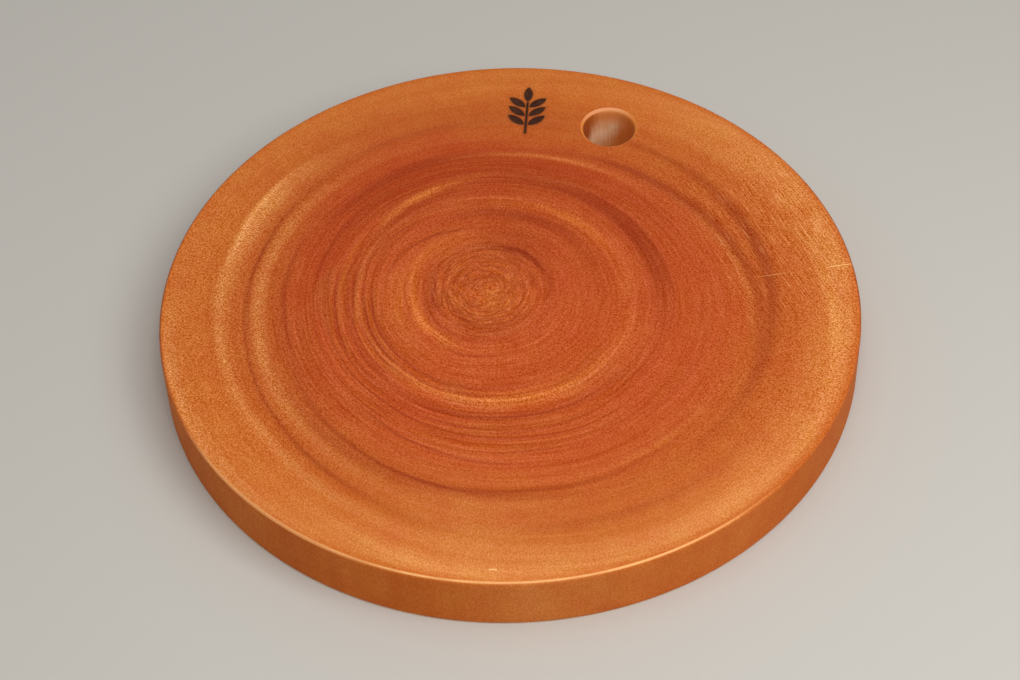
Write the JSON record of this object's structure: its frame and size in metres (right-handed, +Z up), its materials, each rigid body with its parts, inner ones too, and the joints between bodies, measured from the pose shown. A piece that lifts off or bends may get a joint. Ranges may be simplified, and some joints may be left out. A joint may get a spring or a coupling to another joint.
{
  "type": "round chopping block",
  "caption": "Round wooden chopping block: one slab cut across a log, with eased rims, a chamfered hanging hole near the rim and a leaf sprig burned into the work face.",
  "frame": {"origin": "centre of the round face that the block rests on", "axes": "+Z up out of the work face; the hanging hole lies on +Y from the block's axis; +X to the right of the hole, seen from above"},
  "size_m": [0.28, 0.28, 0.025],
  "materials": {
    "oiled_wood": "end grain of a red-orange hardwood with growth rings, sanded and oiled to a satin sheen"
  },
  "bodies": {
    "root": {"chopping_block": "oiled_wood"}
  },
  "joints": []
}
